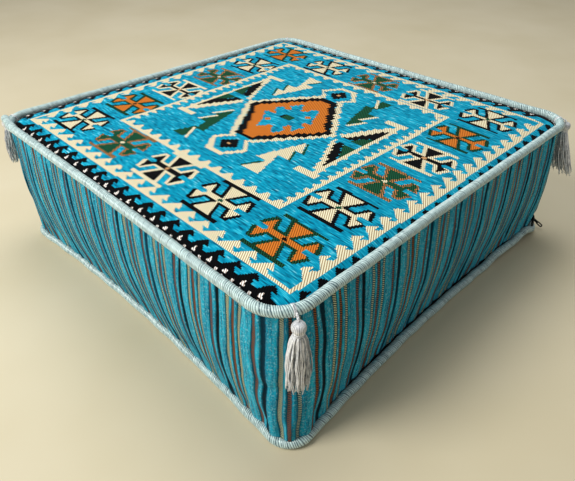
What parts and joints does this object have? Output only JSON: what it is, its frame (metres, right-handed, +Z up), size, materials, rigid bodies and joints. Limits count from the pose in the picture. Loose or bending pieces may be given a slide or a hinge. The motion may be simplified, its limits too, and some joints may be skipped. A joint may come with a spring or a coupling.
{
  "type": "floor cushion",
  "caption": "Square box floor cushion with a patterned flat-woven top, striped side bands, corded piping, a hanging tassel at each top corner and a zip in the lower back seam.",
  "frame": {"origin": "middle of the base, on the floor", "axes": "+Z up through the top panel; -Y the front side; +Y the back, with the zip; +X the side next to the closed end of the zip"},
  "size_m": [0.6366, 0.6177, 0.202],
  "materials": {
    "kilim_panel": "flat-woven wool with a pile of stripes and geometric figures",
    "base_cloth": "plain woven black cotton",
    "striped_boxing": "speckled chenille with upright stripes",
    "piping_cord": "pale silver-blue silky thread wound round a cord",
    "tassel_thread": "silver-grey silky strands",
    "case_cloth": "thin white cotton",
    "fibre": "loose polyester fibre",
    "foam": "open-cell polyurethane foam",
    "zip_tape": "woven black tape",
    "zip_coil": "black nylon coil",
    "zip_metal": "black lacquered zinc"
  },
  "bodies": {
    "cushion": {"top_panel": "kilim_panel", "bottom_panel": "base_cloth", "piping_top": "piping_cord", "piping_bottom": "piping_cord", "boxing_front_right": "striped_boxing", "boxing_back_left": "striped_boxing", "inner_case": "case_cloth", "fibre_wrap": "fibre", "foam_core": "foam", "zip_coil_upper": "zip_coil", "zip_coil_lower": "zip_coil", "zip_tape_upper": "zip_tape", "zip_tape_lower": "zip_tape", "zip_top_stops": "zip_metal", "zip_bottom_stop": "zip_metal"},
    "zip_slider": {"zip_slider": "zip_metal"},
    "zip_pull": {"zip_pull": "zip_metal"},
    "tassel_front_right_loop": {"tassel_front_right_loop": "tassel_thread"},
    "tassel_front_right": {"tassel_front_right_head": "tassel_thread", "tassel_front_right_binding": "tassel_thread", "tassel_front_right_skirt": "tassel_thread"},
    "tassel_back_right_loop": {"tassel_back_right_loop": "tassel_thread"},
    "tassel_back_right": {"tassel_back_right_head": "tassel_thread", "tassel_back_right_binding": "tassel_thread", "tassel_back_right_skirt": "tassel_thread"},
    "tassel_back_left_loop": {"tassel_back_left_loop": "tassel_thread"},
    "tassel_back_left": {"tassel_back_left_head": "tassel_thread", "tassel_back_left_binding": "tassel_thread", "tassel_back_left_skirt": "tassel_thread"},
    "tassel_front_left_loop": {"tassel_front_left_loop": "tassel_thread"},
    "tassel_front_left": {"tassel_front_left_head": "tassel_thread", "tassel_front_left_binding": "tassel_thread", "tassel_front_left_skirt": "tassel_thread"}
  },
  "joints": [
    {"name": "zip_slide", "type": "slide", "parent": "cushion", "child": "zip_slider", "axis": [-1, 0, 0], "range_m": [0, 0.545]},
    {"name": "zip_pull_hinge", "type": "hinge", "parent": "zip_slider", "child": "zip_pull", "pos_m": [0.28, 0.3068, 0.019], "axis": [0.4226, 0, 0.9063], "range_deg": [0, 175]},
    {"name": "tassel_front_right_lift", "type": "hinge", "parent": "cushion", "child": "tassel_front_right_loop", "pos_m": [0.30315, -0.28119, 0.198], "axis": [-0.4226, -0.9063, 0], "range_deg": [0, 95]},
    {"name": "tassel_front_right_swing", "type": "hinge", "parent": "tassel_front_right_loop", "child": "tassel_front_right", "pos_m": [0.3075, -0.28321, 0.1944], "axis": [0.9063, -0.4226, 0], "range_deg": [-35, 35]},
    {"name": "tassel_back_right_lift", "type": "hinge", "parent": "cushion", "child": "tassel_back_right_loop", "pos_m": [0.2941, 0.2941, 0.198], "axis": [0.7071, -0.7071, 0], "range_deg": [0, 95]},
    {"name": "tassel_back_right_swing", "type": "hinge", "parent": "tassel_back_right_loop", "child": "tassel_back_right", "pos_m": [0.2975, 0.2975, 0.1944], "axis": [0.7071, 0.7071, 0], "range_deg": [-35, 35]},
    {"name": "tassel_back_left_lift", "type": "hinge", "parent": "cushion", "child": "tassel_back_left_loop", "pos_m": [-0.2941, 0.2941, 0.198], "axis": [0.7071, 0.7071, 0], "range_deg": [0, 95]},
    {"name": "tassel_back_left_swing", "type": "hinge", "parent": "tassel_back_left_loop", "child": "tassel_back_left", "pos_m": [-0.2975, 0.2975, 0.1944], "axis": [-0.7071, 0.7071, 0], "range_deg": [-35, 35]},
    {"name": "tassel_front_left_lift", "type": "hinge", "parent": "cushion", "child": "tassel_front_left_loop", "pos_m": [-0.29826, -0.28932, 0.198], "axis": [-0.6018, 0.7986, 0], "range_deg": [0, 95]},
    {"name": "tassel_front_left_swing", "type": "hinge", "parent": "tassel_front_left_loop", "child": "tassel_front_left", "pos_m": [-0.30209, -0.29221, 0.1944], "axis": [-0.7986, -0.6018, 0], "range_deg": [-35, 35]}
  ]
}
